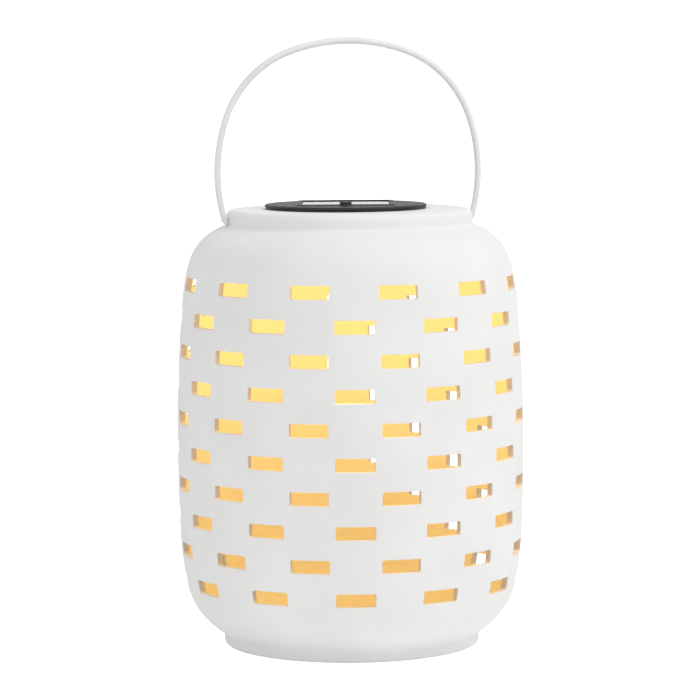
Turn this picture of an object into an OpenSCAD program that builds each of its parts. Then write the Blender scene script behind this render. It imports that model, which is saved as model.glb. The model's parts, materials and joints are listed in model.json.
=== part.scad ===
// Pierced ceramic jar lantern with a wire bail and a lift-out solar light.
// Frame: origin at the middle of the foot, +Z up, +X along the bail's pivot axis. Sizes in mm.

/* [Jar] */
// Height of the jar's flat top above the foot
jar_h = 210.7; // [120:0.1:320]
// Largest radius of the belly
belly_r = 83.75; // [50:0.05:130]
// Height of the widest part of the belly
belly_z = 99.5; // [60:0.5:160]
// Outer radius of the straight neck
neck_r = 59.2; // [40:0.1:90]
// Thickness of the ceramic wall
wall_t = 3.5; // [2.5:0.1:6]
// Thickness of the flat top
top_t = 3; // [2:0.1:6]
// Radius of the opening that the light hangs in
mouth_r = 35.6; // [25:0.1:50]
// Outer radius of the foot ring
foot_r = 61.85; // [40:0.05:90]
// Height of the recess under the foot ring
foot_recess = 3; // [1:0.1:6]

/* [Slots] */
// Rows of slots
slot_rows = 10; // [1:1:14]
// Slots in one row
slot_count = 12; // [4:1:24]
// Width of one slot
slot_w = 18.6; // [8:0.1:30]
// Height of one slot
slot_h = 6.4; // [3:0.1:12]
// Corner radius of one slot
slot_corner = 0.9; // [0.2:0.1:3]
// Height of the top row
slot_top_z = 175.7; // [100:0.1:200]
// Distance between rows
slot_pitch = 15.89; // [10:0.01:24]
// Turn of the first row about the jar's axis
slot_turn = 3.5; // [-15:0.1:15]

/* [Bail] */
// Wire diameter
wire_d = 3.2; // [1.5:0.1:4]
// Height of the pivot axis
pivot_z = 205; // [150:0.1:300]
// Distance from the jar's axis at which the wire starts to bend upwards
pin_x = 58.8; // [40:0.1:80]
// Radius of the small bends at the wire's ends
bend_r = 2.6; // [1.5:0.1:6]
// Lean of the wire where it leaves the neck
lean = 15.8; // [0:0.1:40]
// Radius of the side arcs
side_r = 79.1; // [40:0.1:200]
// Radius of the shoulder arcs
shoulder_r = 51.4; // [20:0.1:120]
// Angle turned by one shoulder arc
shoulder_a = 50.4; // [20:0.1:80]
// Half of the angle turned by the top arc
crown_a = 19.7; // [5:0.1:60]
// Diameter of the holes in the neck
eye_d = 4.3; // [3:0.1:8]

/* [Light] */
// Radius of the lid's rim
lid_r = 39; // [30:0.1:60]
// Turn of the light in the jar's mouth
lid_turn = -13; // [-180:1:180]
// Sideways shift of the light in the jar's loose mouth
lid_shift = 1.6; // [0:0.1:2.4]
// Outer radius of the can under the lid
can_r = 33; // [25:0.1:45]
// Depth of the can below the jar's top
can_h = 24; // [18:0.5:36]
// Wall thickness of the moulded parts
skin = 1.6; // [1:0.1:3]
// Width of the square frame round the solar panel
bezel_w = 45.4; // [30:0.1:60]
// Side length of the solar panel
panel_w = 41.4; // [25:0.1:56]
// Travel of the switch slider
switch_travel = 2; // [1:0.1:3]

/* [Battery] */
// Diameter of the rechargeable cell (AAA size)
cell_d = 10.3; // [8:0.1:15]
// Length of the cell's can
cell_l = 43.4; // [30:0.1:52]
// Distance of the cell from the light's axis
cell_y = 13; // [8:0.1:20]

/* [Hidden] */
$fn = 96;

// ---- jar outline: tangent arcs, each [radius, angle, steps] from the widest point ----
up_arcs = [[780, 4.93, 3], [110, 9.5, 3], [26, 58, 10]];
down_arcs = [[1100, 2.33, 2], [150, 10.4, 4], [29.5, 30, 6], [50, 15, 3]];

// angle at the start of arc i, and centre [r, z] of arc i measured from the widest point
function turned(arcs, i) = i == 0 ? 0 : turned(arcs, i - 1) + arcs[i - 1][1];
function dir(a) = [cos(a), sin(a)];
function centre(arcs, i) = i == 0
    ? [belly_r - arcs[0][0], 0]
    : centre(arcs, i - 1) + (arcs[i - 1][0] - arcs[i][0]) * dir(turned(arcs, i));
function arc_end(arcs, i) = centre(arcs, i) + arcs[i][0] * dir(turned(arcs, i + 1));

shoulder_end = arc_end(up_arcs, 2);
shoulder_slope = turned(up_arcs, 3);
collar_r = (shoulder_end[0] - neck_r) / (1 - cos(shoulder_slope));
collar_z = belly_z + shoulder_end[1] + collar_r * sin(shoulder_slope);
base_end = arc_end(down_arcs, 3);
valley_z = belly_z - base_end[1];
neck_edge = 3;
foot_edge = 2.2;
foot_in = 53.5;
floor_z = foot_recess + 4.5;

// ---- bail: the same kind of chain, from the pin up to the crown ----
wire_r = wire_d / 2;
eye_z = pivot_z + eye_d / 2 - wire_r - 0.08;
bend_c = [pin_x, pivot_z + bend_r];
side_c = bend_c + (bend_r - side_r) * dir(-lean);
side_a = 90 - crown_a - shoulder_a;
shoulder_c = side_c + (side_r - shoulder_r) * dir(side_a);
crown_start = shoulder_c + shoulder_r * dir(90 - crown_a);
crown_r = crown_start[0] / sin(crown_a);
crown_z = crown_start[1] - crown_r * cos(crown_a);
hook_x = 52.5;
hook_l = 4.5;

// ---- light, heights measured from the jar's top ----
flange_r = lid_r - 0.4;
flange_t = 0.9;
cover_lo = 1;
cover_hi = 2.3;
rim_edge = 0.6;
bezel_hi = 3;
bezel_base = bezel_w + 4;
can_lo = -can_h;
can_floor = can_lo + skin;
can_in = can_r - skin;
spigot_r = can_in - 0.3;
seal_in = 34.4;
seal_out = 36.4;
seal_lo = 0.5;
screw_r = 1;
post_r = 27;
post_angles = [90, 210, 330];
post_top = -6;
head_z = -8;
panel_lo = 1.6;
cell_lo = 2.1;
strip_t = 0.2;
resin_hi = 2.55;
strip_w = 9.5;
strip_l = 38.4;
sensor_y = -bezel_w / 2 - 0.6;
sensor_r = 1.9;
sensor_hi = 4.3;
board_lo = -17.6;
board_hi = -16.2;
board_w = 28;
board_y0 = -20.5;
board_y1 = 3;
led_y = -5.5;
led_r = 2.5;
led_tip = -28.5;
dome_r = 9;
dome_t = 1.2;
dome_z = can_lo - 1.5;
switch_y = -18;
switch_w = 8.6;
switch_d = 3.8;
slider_w = 2;
slider_d = 1.5;
slider_lo = can_lo - 2;
gap = 0.3;
cell_z = can_floor + 0.9 + cell_d / 2;
wrap_t = 0.15;
tray_lo = -25.1;
tray_hi = 23.2;
tray_top = -12;
door_w = 53;
door_d = 14.4;
door_t = 1.4;
tab_x = 18;
tab_y = 2.5;
lead_r = 0.6;

module in_light() {
    translate([0, 0, jar_h])
        rotate([0, 0, lid_turn])
            translate([-lid_shift, 0, 0]) children();
}

// ---------- jar ----------
// Points on an arc of radius r round c, from angle a0 to a1, the first one left out.
function arc_pts(c, r, a0, a1, n) = [for (k = [1 : n]) c + r * dir(a0 + (a1 - a0) * k / n)];

// Points of a whole chain, moved inwards by off; side is 1 above the widest point, -1 below.
function chain_pts(arcs, off, side) = [
    for (i = [0 : len(arcs) - 1])
        for (p = arc_pts(centre(arcs, i), arcs[i][0] - off,
                         turned(arcs, i), turned(arcs, i + 1), arcs[i][2]))
            [p[0], belly_z + side * p[1]]
];
function backwards(list) = [for (k = [len(list) - 1 : -1 : 0]) list[k]];

outer_pts = concat(
    [[0, 0], [foot_r - foot_edge, 0]],
    arc_pts([foot_r - foot_edge, foot_edge], foot_edge, -90, 0, 5),
    [[foot_r, valley_z]],
    backwards(chain_pts(down_arcs, 0, -1)),
    [[belly_r, belly_z]],
    chain_pts(up_arcs, 0, 1),
    arc_pts([neck_r + collar_r, collar_z], collar_r, 180 + shoulder_slope, 180, 5),
    arc_pts([neck_r - neck_edge, jar_h - neck_edge], neck_edge, 0, 90, 5),
    [[0, jar_h]]
);
inner_all = concat(
    backwards(chain_pts(down_arcs, wall_t, -1)),
    [[belly_r - wall_t, belly_z]],
    chain_pts(up_arcs, wall_t, 1)
);
inner_pts = concat(
    [[0, floor_z], [inner_all[0][0] - 2, floor_z]],
    [for (p = inner_all) if (p[1] > floor_z + 0.5 && p[0] > neck_r - wall_t) p],
    [[neck_r - wall_t, collar_z - 1], [neck_r - wall_t, jar_h - top_t], [0, jar_h - top_t]]
);

module jar_shell() {
    difference() {
        rotate_extrude() polygon(outer_pts);
        rotate_extrude() polygon(inner_pts);
        translate([0, 0, jar_h - top_t - 1]) cylinder(r = mouth_r, h = top_t + 2);
        translate([0, 0, -1]) cylinder(r = foot_in, h = foot_recess + 1);
    }
}

// A disc with its upper edge rounded.
module rounded_disc(r, edge) {
    cylinder(r = r - edge, h = edge);
    rotate_extrude()
        translate([r - edge, 0])
            intersection() {
                circle(r = edge);
                square(edge);
            }
}

module slot_cutter() {
    w = slot_w - 2 * slot_corner;
    h = slot_h - 2 * slot_corner;
    rotate([90, 0, 0])
        translate([0, 0, 50])
            linear_extrude(height = 45) {
                square([slot_w, h], center = true);
                square([w, slot_h], center = true);
                for (sx = [-1, 1], sy = [-1, 1])
                    translate([sx * w / 2, sy * h / 2]) circle(r = slot_corner, $fn = 24);
            }
}

module slots() {
    for (row = [0 : slot_rows - 1], k = [0 : slot_count - 1])
        rotate([0, 0, slot_turn + (k - (row % 2) / 2) * 360 / slot_count])
            translate([0, 0, slot_top_z - row * slot_pitch])
                slot_cutter();
}

module ceramic_jar() {
    color("WhiteSmoke")
        difference() {
            jar_shell();
            slots();
            for (s = [-1, 1])
                translate([s * (neck_r - wall_t - 1), 0, eye_z])
                    rotate([0, s * 90, 0]) cylinder(d = eye_d, h = wall_t + 4);
        }
}

// ---------- bail ----------
// Wire bent round centre c in the XZ plane from angle a0 to a1.
module bent_wire(c, r, a0, a1) {
    translate([c[0], 0, c[1]])
        rotate([90, 0, 0])
            rotate([0, 0, a0])
                rotate_extrude(angle = a1 - a0)
                    translate([r, 0]) circle(d = wire_d, $fn = 32);
}

// A ball a hair thicker than the wire, where two bends meet.
module meet(p) {
    translate([p[0], 0, p[1]]) sphere(r = wire_r + 0.04, $fn = 32);
}

module half_bail() {
    bent_wire([0, crown_z], crown_r, 90 - crown_a, 90);
    meet(crown_start);
    bent_wire(shoulder_c, shoulder_r, side_a, 90 - crown_a);
    meet(shoulder_c + shoulder_r * dir(side_a));
    bent_wire(side_c, side_r, -lean, side_a);
    meet(bend_c + bend_r * dir(-lean));
    bent_wire(bend_c, bend_r, -90, -lean);
    meet([pin_x, pivot_z]);
    translate([hook_x, 0, pivot_z])
        rotate([0, 90, 0]) cylinder(d = wire_d, h = pin_x - hook_x, $fn = 32);
    meet([hook_x, pivot_z]);
    bent_wire([hook_x, pivot_z - bend_r], bend_r, 90, 180);
    meet([hook_x - bend_r, pivot_z - bend_r]);
    translate([hook_x - bend_r, 0, pivot_z - bend_r - hook_l])
        cylinder(d = wire_d, h = hook_l, $fn = 32);
}

module wire_bail() {
    color("Gainsboro") {
        half_bail();
        mirror([1, 0, 0]) half_bail();
        meet([0, crown_z + crown_r]);
    }
}

// ---------- light: moulded parts ----------
// Square frame with sloping sides, cut from two crossed trapezoids.
module bezel_block() {
    z = bezel_hi - cover_lo;
    slope = bezel_hi - cover_hi;
    profile = [[-bezel_base / 2, 0], [bezel_base / 2, 0], [bezel_base / 2, z - slope],
               [bezel_w / 2, z], [-bezel_w / 2, z], [-bezel_base / 2, z - slope]];
    translate([0, 0, cover_lo])
        intersection() {
            rotate([90, 0, 0]) linear_extrude(height = bezel_base, center = true) polygon(profile);
            rotate([90, 0, 90]) linear_extrude(height = bezel_base, center = true) polygon(profile);
        }
}

module at_posts() {
    for (a = post_angles)
        rotate([0, 0, a]) translate([post_r, 0, 0]) children();
}

module lid_cover() {
    color("#303030")
        in_light()
            difference() {
                union() {
                    translate([0, 0, cover_lo]) cylinder(r = lid_r, h = cover_hi - rim_edge - cover_lo);
                    translate([0, 0, cover_hi - rim_edge]) rounded_disc(lid_r, rim_edge);
                    bezel_block();
                    translate([0, sensor_y, cover_lo]) cylinder(r = 2.85, h = sensor_hi - 0.4 - cover_lo);
                    translate([0, sensor_y, sensor_hi - 0.4]) rounded_disc(2.85, 0.4);
                    difference() {
                        translate([0, 0, -1.5]) cylinder(r = spigot_r, h = 1.5 + cover_lo + 0.2);
                        translate([0, 0, -2]) cylinder(r = spigot_r - 1.4, h = 2 + cover_lo);
                    }
                    at_posts() translate([0, 0, post_top]) cylinder(r = 2.9, h = cover_lo + 0.2 - post_top);
                }
                translate([0, 0, panel_lo + 2])
                    cube([panel_w + 2 * gap, panel_w + 2 * gap, 4], center = true);
                translate([0, sensor_y, 0]) cylinder(r = sensor_r, h = 6);
                translate([-5.5, -1.2, 0]) cube([11, 2.4, 3]);
                at_posts() translate([0, 0, post_top - 1]) cylinder(r = screw_r, h = 5.5);
            }
}

module seal_ring() {
    color("#202020")
        in_light()
            translate([0, 0, seal_lo])
                difference() {
                    cylinder(r = seal_out, h = cover_lo - seal_lo);
                    translate([0, 0, -1]) cylinder(r = seal_in, h = 3);
                }
}

module tray_walls() {
    d = cell_d + 1.2;
    h = tray_top - can_lo;
    translate([tray_hi, cell_y - d / 2, can_lo]) cube([1.5, d, h]);
    translate([tray_lo - 1.4, cell_y - d / 2, can_lo]) cube([1.4, d, h]);
    translate([tray_lo - 1, cell_y - d / 2 - 1, can_lo]) cube([tray_hi - tray_lo + 2, 1, h - 3]);
}

module light_housing() {
    color("#262626")
        in_light()
            difference() {
                union() {
                    cylinder(r = flange_r, h = flange_t);
                    translate([0, 0, can_lo]) cylinder(r = can_r, h = can_h + 0.2);
                }
                difference() {
                    translate([0, 0, can_floor]) cylinder(r = can_in, h = can_h + 2);
                    at_posts() translate([0, 0, can_lo]) cylinder(r = 3.4, h = post_top - can_lo);
                    intersection() {
                        cylinder(r = can_r - 0.2, h = 200, center = true);
                        tray_walls();
                    }
                    translate([tab_x, tab_y, can_lo]) cylinder(r = 2.8, h = 6.5);
                    for (x = [-11.5, 11.5], y = [-1, -17])
                        translate([x, y, can_lo]) cylinder(r = 1.5, h = board_lo - can_lo);
                }
                translate([0, 0, seal_lo])
                    difference() {
                        cylinder(r = seal_out, h = 3);
                        translate([0, 0, -1]) cylinder(r = seal_in, h = 5);
                    }
                at_posts() {
                    translate([0, 0, can_lo - 1]) cylinder(r = 2.4, h = head_z - can_lo + 1);
                    translate([0, 0, head_z - 1]) cylinder(r = screw_r + 0.2, h = 5);
                }
                translate([0, led_y, can_lo - 1]) cylinder(r = led_r + 0.05, h = 4);
                translate([-slider_w / 2 - switch_travel / 2 - gap, switch_y - slider_d / 2 - gap, can_lo - 1])
                    cube([slider_w + switch_travel + 2 * gap, slider_d + 2 * gap, 4]);
                translate([tray_lo + 0.6, cell_y - 5.6, can_lo - 1])
                    cube([tray_hi - tray_lo - 1, 11.2, skin + 1.1]);
                translate([tab_x, tab_y, can_lo - 1]) cylinder(r = screw_r + gap, h = 6.5);
            }
}

module housing_screws() {
    color("Silver")
        in_light()
            at_posts()
                difference() {
                    union() {
                        translate([0, 0, head_z - 1.6]) cylinder(r = 2, h = 1.6);
                        translate([0, 0, head_z]) cylinder(r = screw_r, h = 6.2);
                    }
                    for (a = [0, 90])
                        rotate([0, 0, a])
                            translate([0, 0, head_z - 1.6]) cube([2.6, 0.5, 1.4], center = true);
                }
}

// ---------- light: solar panel and sensor ----------
module at_strips() {
    for (k = [-1.5 : 1 : 1.5])
        translate([k * (strip_w + 0.5), 0, cell_lo + strip_t / 2]) children();
}

module panel_board() {
    color("DarkGreen")
        in_light()
            translate([-panel_w / 2, -panel_w / 2, panel_lo])
                cube([panel_w, panel_w, cell_lo - panel_lo]);
}

module solar_cells() {
    color("MidnightBlue")
        in_light()
            at_strips() cube([strip_w, strip_l, strip_t], center = true);
}

module panel_resin() {
    color("#aaccee")
        in_light()
            difference() {
                translate([-panel_w / 2, -panel_w / 2, cell_lo]) cube([panel_w, panel_w, resin_hi - cell_lo]);
                at_strips() translate([0, 0, -0.1]) cube([strip_w, strip_l, strip_t + 0.2], center = true);
            }
}

module sensor_window() {
    color("LightSlateGray")
        in_light()
            translate([0, sensor_y, 0]) {
                translate([0, 0, 3.5]) cylinder(r = sensor_r, h = 0.5);
                intersection() {
                    translate([0, 0, 1.6]) sphere(r = 3.0);
                    translate([0, 0, 4]) cylinder(r = sensor_r, h = 3);
                }
            }
}

module light_sensor() {
    color("Tomato")
        in_light()
            translate([0, sensor_y, 0]) {
                translate([0, 0, 2.3]) cylinder(r = 1.7, h = 1.2);
                for (x = [-0.9, 0.9])
                    translate([x, 0, -2.6]) cylinder(r = 0.25, h = 4.9, $fn = 24);
            }
}

// ---------- light: electronics ----------
module circuit_board() {
    color("SeaGreen")
        in_light()
            translate([-board_w / 2, board_y0, board_lo])
                cube([board_w, board_y1 - board_y0, board_hi - board_lo]);
}

module driver_chip() {
    color("#1c1c1c")
        in_light()
            translate([-9, -8, board_hi]) {
                translate([-2.5, -0.8, 1.6]) cube([5, 1.6, 3.4]);
                for (x = [-1.9, -0.63, 0.63, 1.9])
                    translate([x, 0, 0.85]) cube([0.4, 0.4, 1.7], center = true);
            }
}

module coil() {
    color("OliveDrab")
        in_light()
            translate([8, -9, board_hi + 1.9]) {
                rotate([90, 0, 0]) cylinder(r = 1.5, h = 7, center = true);
                for (y = [-4.6, 4.6])
                    translate([0, y, -1.9]) cylinder(r = 0.3, h = 2.2, $fn = 24);
                rotate([90, 0, 0]) cylinder(r = 0.3, h = 9.4, center = true, $fn = 24);
            }
}

module led() {
    color("LightYellow")
        in_light()
            translate([0, led_y, 0]) {
                translate([0, 0, led_tip + led_r]) sphere(r = led_r);
                translate([0, 0, led_tip + led_r]) cylinder(r = led_r, h = 6);
                translate([0, 0, -20.4]) cylinder(r = 2.9, h = 1);
                for (x = [-1.27, 1.27])
                    translate([x, 0, -19.5]) cylinder(r = 0.25, h = board_lo + 19.5, $fn = 24);
            }
}

module led_dome() {
    color("Ivory")
        in_light()
            translate([0, led_y, 0])
                difference() {
                    union() {
                        translate([0, 0, dome_z]) cylinder(r = dome_r, h = can_lo - dome_z);
                        translate([0, 0, dome_z]) sphere(r = dome_r);
                    }
                    translate([0, 0, dome_z]) sphere(r = dome_r - dome_t);
                    translate([0, 0, dome_z]) cylinder(r = dome_r - dome_t, h = 3);
                    translate([0, 0, can_lo]) cylinder(r = 20, h = 20);
                }
}

module switch_body() {
    lo = board_lo - 4;
    color("Silver")
        in_light()
            translate([0, switch_y, 0])
                difference() {
                    translate([-switch_w / 2, -switch_d / 2, lo]) cube([switch_w, switch_d, 4]);
                    translate([-slider_w / 2 - 1.8, -1.4, lo + 0.6]) cube([slider_w + 3.6, 2.8, 2]);
                    translate([-slider_w / 2 - switch_travel / 2 - gap, -slider_d / 2 - gap, lo - 1])
                        cube([slider_w + switch_travel + 2 * gap, slider_d + 2 * gap, 2]);
                }
}

module switch_slider() {
    lo = board_lo - 4;
    color("#101010")
        in_light()
            translate([-switch_travel / 2, switch_y, 0]) {
                translate([-slider_w / 2, -slider_d / 2, slider_lo])
                    cube([slider_w, slider_d, lo + 1 - slider_lo]);
                translate([-slider_w / 2 - 0.4, -1.1, lo + 0.9]) cube([slider_w + 0.8, 2.2, 1]);
            }
}

// ---------- light: battery ----------
module battery_cell() {
    color("Silver")
        in_light()
            translate([0, cell_y, cell_z])
                rotate([0, 90, 0]) {
                    translate([0, 0, -cell_l / 2]) cylinder(r = cell_d / 2 - wrap_t, h = cell_l);
                    translate([0, 0, cell_l / 2]) cylinder(r = 1.9, h = 1);
                }
}

module battery_wrap() {
    color("SeaGreen")
        in_light()
            translate([0, cell_y, cell_z])
                rotate([0, 90, 0])
                    difference() {
                        cylinder(d = cell_d, h = cell_l - 0.8, center = true);
                        cylinder(r = cell_d / 2 - wrap_t, h = cell_l + 2, center = true);
                    }
}

module contact_plate() {
    color("Gainsboro")
        in_light()
            translate([cell_l / 2 + 1, cell_y - 4, cell_z - 4]) cube([0.5, 8, 8.4]);
}

module contact_spring() {
    color("Gainsboro")
        in_light() {
            translate([tray_lo, cell_y - 4, cell_z - 4]) cube([0.4, 8, 8.4]);
            translate([-cell_l / 2 - 4.2, cell_y, cell_z - 3])
                linear_extrude(height = 6)
                    intersection() {
                        difference() {
                            circle(r = 4.2);
                            circle(r = 3.8);
                        }
                        translate([tray_lo + 0.3 + cell_l / 2 + 4.2, -5]) square([10, 10]);
                    }
        }
}

module door_outline() {
    translate([-door_w / 2 - 0.9, cell_y - door_d / 2]) square([door_w, door_d]);
    translate([tab_x - 4, tab_y - 4]) square([8, cell_y - tab_y]);
}

module battery_door() {
    color("#2a2a2a")
        in_light()
            difference() {
                union() {
                    translate([0, 0, can_lo - gap - door_t])
                        linear_extrude(height = door_t)
                            intersection() {
                                door_outline();
                                circle(r = can_r - 0.6);
                            }
                    translate([tray_lo + 1, cell_y - 5.2, can_lo - gap - 0.2])
                        cube([tray_hi - tray_lo - 1.8, 10.4, 1.4]);
                }
                translate([tab_x, tab_y, can_lo - 5]) cylinder(r = screw_r, h = 10);
            }
}

module door_screw() {
    lo = can_lo - gap - door_t;
    color("Silver")
        in_light()
            translate([tab_x, tab_y, 0])
                difference() {
                    union() {
                        translate([0, 0, lo - 1.3]) cylinder(r = 2, h = 1.3);
                        translate([0, 0, lo]) cylinder(r = screw_r, h = 6);
                    }
                    for (a = [0, 90])
                        rotate([0, 0, a])
                            translate([0, 0, lo - 1.3]) cube([2.6, 0.5, 1.2], center = true);
                }
}

// ---------- light: leads ----------
// Insulated lead through a list of points, with a ball at each bend.
module lead(points) {
    for (i = [0 : len(points) - 2]) {
        step = points[i + 1] - points[i];
        translate(points[i])
            rotate([0, acos(step[2] / norm(step)), atan2(step[1], step[0])])
                cylinder(r = lead_r, h = norm(step), $fn = 24);
        if (i > 0)
            translate(points[i]) sphere(r = lead_r + 0.06, $fn = 24);
    }
}

module panel_lead_red() {
    color("Red")
        in_light() lead([[4, 0, panel_lo], [4, 0, -8], [6, -3, -11], [6, -3, board_hi]]);
}

module panel_lead_black() {
    color("#111111")
        in_light() lead([[-4, 0, panel_lo], [-4, 0, -8], [-6, -3, -11], [-6, -3, board_hi]]);
}

module sensor_leads() {
    color("#dddddd")
        in_light()
            for (s = [-1, 1])
                lead([[s * 0.9, sensor_y, -2.6], [s * 0.9, sensor_y, -6],
                      [s * 2.4, -17, -10], [s * 2.4, -17, board_hi]]);
}

module battery_lead_red() {
    x = cell_l / 2 + 1.25;
    color("Red")
        in_light() lead([[x, cell_y, cell_z + 4.4], [x, cell_y, -8], [11, 1, -8], [11, 1, board_hi]]);
}

module battery_lead_black() {
    x = tray_lo + 0.2;
    color("#111111")
        in_light() lead([[x, cell_y, cell_z + 4.4], [x, cell_y, -8], [-11, 1, -8], [-11, 1, board_hi]]);
}

ceramic_jar();
wire_bail();
lid_cover();
seal_ring();
light_housing();
housing_screws();
panel_board();
solar_cells();
panel_resin();
sensor_window();
light_sensor();
circuit_board();
driver_chip();
coil();
led();
led_dome();
switch_body();
switch_slider();
battery_cell();
battery_wrap();
contact_plate();
contact_spring();
battery_door();
door_screw();
panel_lead_red();
panel_lead_black();
sensor_leads();
battery_lead_red();
battery_lead_black();
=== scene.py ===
import json
import math

import bmesh
import bpy
from mathutils import Matrix, Vector


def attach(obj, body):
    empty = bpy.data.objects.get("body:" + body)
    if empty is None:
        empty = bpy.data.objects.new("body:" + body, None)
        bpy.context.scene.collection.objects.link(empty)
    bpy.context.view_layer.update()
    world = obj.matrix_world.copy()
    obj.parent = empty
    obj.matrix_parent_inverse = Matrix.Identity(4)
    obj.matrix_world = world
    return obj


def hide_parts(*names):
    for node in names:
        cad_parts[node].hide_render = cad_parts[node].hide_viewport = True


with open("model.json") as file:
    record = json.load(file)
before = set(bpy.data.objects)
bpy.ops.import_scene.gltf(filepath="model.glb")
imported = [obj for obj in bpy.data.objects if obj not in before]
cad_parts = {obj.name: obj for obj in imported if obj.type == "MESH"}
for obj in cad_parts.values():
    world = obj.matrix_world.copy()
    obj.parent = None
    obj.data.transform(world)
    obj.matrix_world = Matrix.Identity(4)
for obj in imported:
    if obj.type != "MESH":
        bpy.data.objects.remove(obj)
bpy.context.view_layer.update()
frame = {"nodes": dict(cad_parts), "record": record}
NODES = frame["nodes"]
MM = 0.001
scene = bpy.context.scene

# The sizes below are the CAD part's own driving sizes, in mm, with heights from the floor.
# ------------------------------------------------------------------ jar
JAR_H = 210.7
BELLY_R, BELLY_Z = 83.75, 99.5
NECK_R, NECK_EDGE = 59.2, 3.0
WALL, TOP_T = 3.5, 3.0
MOUTH_R = 35.6
FOOT_R, FOOT_IN, FOOT_EDGE, FOOT_RECESS = 61.85, 53.5, 2.2, 3.0
FLOOR_Z = 7.5
# the outline up and down from the widest point, as tangent arcs of (radius, angle)
UP_ARCS = [(780, 4.93), (110, 9.5), (26, 58)]
DOWN_ARCS = [(1100, 2.33), (150, 10.4), (29.5, 30), (50, 15)]
SKIN_BACK = 0.04     # how far the smooth jar stays inside the CAD jar's faceted outline

# ------------------------------------------------------------------ slots
ROWS, PER_ROW = 10, 12
SLOT_W, SLOT_H, SLOT_TOP, PITCH = 18.6, 6.4, 175.7, 15.89
SLOT_TURN = 3.5      # degrees from the front to the first row's first slot
SOFT = 0.55          # distance from a slot's edge to the mesh lines that hold its rounding
CORNER = 0.95        # distance from a slot's corner to the mesh lines that hold the corner
SILL_SHADE = 0.1      # how little of the painted shade goes on the slots' lower faces, which face upwards
HALF_STEP = 180 / PER_ROW            # degrees that alternate rows are turned by
HALF_STEPS = 2 * PER_ROW
EDGE_LINE = 4        # the mesh line on a slot's edge, counted from the slot's middle
PER_HALF = 11        # mesh lines in half a step

# ------------------------------------------------------------------ bail
WIRE_R = 1.6
PIVOT_Z = 205.0
EYE_R = 2.15
EYE_PLAY = 0.08      # gap under the wire in its hole
EYE_Z = PIVOT_Z + EYE_R - WIRE_R - EYE_PLAY
PIN_X, HOOK_X, HOOK_L = 58.8, 52.5, 4.5
BEND_R, SIDE_R, SHOULDER_R = 2.6, 79.1, 51.4
LEAN, SHOULDER_A, CROWN_A = 15.8, 50.4, 19.7

# ------------------------------------------------------------------ light, heights from the jar's top
LID_TURN = math.radians(-13)
LID_SHIFT = 1.6
RIM_R = 39.0
COVER_LO, COVER_HI, BEZEL_HI = 1.0, 2.3, 3.0
SPIGOT_R, SPIGOT_IN, SPIGOT_LO = 31.1, 29.7, -1.5
PANEL_LO, CELL_TOP = 1.6, 2.3
BEZEL_W, PANEL_W = 45.4, 41.4
STRIP_W, STRIP_L, STRIP_GAP = 9.5, 38.4, 0.5
SENSOR_Y = -BEZEL_W / 2 - 0.6
SENSOR_HI = 4.3
BOSS_R, WINDOW_R = 2.82, 1.9
DOME_R, DOME_T, DOME_Z, DOME_Y = 9.0, 1.2, -25.5, -5.5

# ------------------------------------------------------------------ camera and studio
CAMERA_LENS, CAMERA_SENSOR = 175.5, 36.0
CAMERA_TURN, CAMERA_TILT, CAMERA_ROLL = -13, 5.26, -0.38     # degrees
CAMERA_DIST, CAMERA_HEIGHT = 1.6425, 0.2934                  # metres
WORLD_LIGHT = 0.67
WORLD_SHINE = 1.0    # the studio's brightness as gloss sees it
WORLD_SEEN = 1.1     # and as the camera sees it
FLOOR_HALF = 12.0    # metres
FLOOR_GLOW = 0.8
FLOOR_LIFT = 0.16
LIGHT_DIST, LIGHT_SIZE, LIGHT_AIM = 1.5, 0.9, 0.12           # metres
KEY_POWER = 6.3
FRONT_POWER = 2.4
GLOW_POWER = 0.185
GLOW_COLOUR = (1.0, 0.62, 0.20)
GLOW_R, GLOW_Y, GLOW_Z = 0.012, -0.004, 0.150                # metres


# ------------------------------------------------------------------ node materials
def new_material(name):
    mat = bpy.data.materials.new(name)
    mat.use_nodes = True
    nt = mat.node_tree
    nt.nodes.clear()
    out = nt.nodes.new("ShaderNodeOutputMaterial")
    bsdf = nt.nodes.new("ShaderNodeBsdfPrincipled")
    nt.links.new(bsdf.outputs[0], out.inputs[0])
    return mat, nt, bsdf


def coords(nt, scale=(1, 1, 1)):
    tc = nt.nodes.new("ShaderNodeTexCoord")
    mp = nt.nodes.new("ShaderNodeMapping")
    mp.inputs["Scale"].default_value = scale
    nt.links.new(tc.outputs["Object"], mp.inputs[0])
    return mp.outputs[0]


def noise(nt, vec, scale, detail=3.0, rough=0.5):
    n = nt.nodes.new("ShaderNodeTexNoise")
    n.inputs["Scale"].default_value = scale
    n.inputs["Detail"].default_value = detail
    n.inputs["Roughness"].default_value = rough
    nt.links.new(vec, n.inputs["Vector"])
    return n.outputs["Fac"]


def ramp(nt, fac, stops):
    """A colour ramp through stops of (position, colour), where a colour may be one grey level."""
    r = nt.nodes.new("ShaderNodeValToRGB")
    elements = r.color_ramp.elements
    while len(elements) < len(stops):
        elements.new(0.5)
    for element, (position, colour) in zip(elements, stops):
        element.position = position
        element.color = (*colour, 1) if len(colour) == 3 else (*colour * 3, 1)
    nt.links.new(fac, r.inputs[0])
    return r.outputs[0]


def spread(nt, fac, low, high, start=0.3, end=0.7):
    """Maps start..end of fac to low..high."""
    m = nt.nodes.new("ShaderNodeMapRange")
    m.inputs["From Min"].default_value = start
    m.inputs["From Max"].default_value = end
    m.inputs["To Min"].default_value = low
    m.inputs["To Max"].default_value = high
    nt.links.new(fac, m.inputs["Value"])
    return m.outputs[0]


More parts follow.
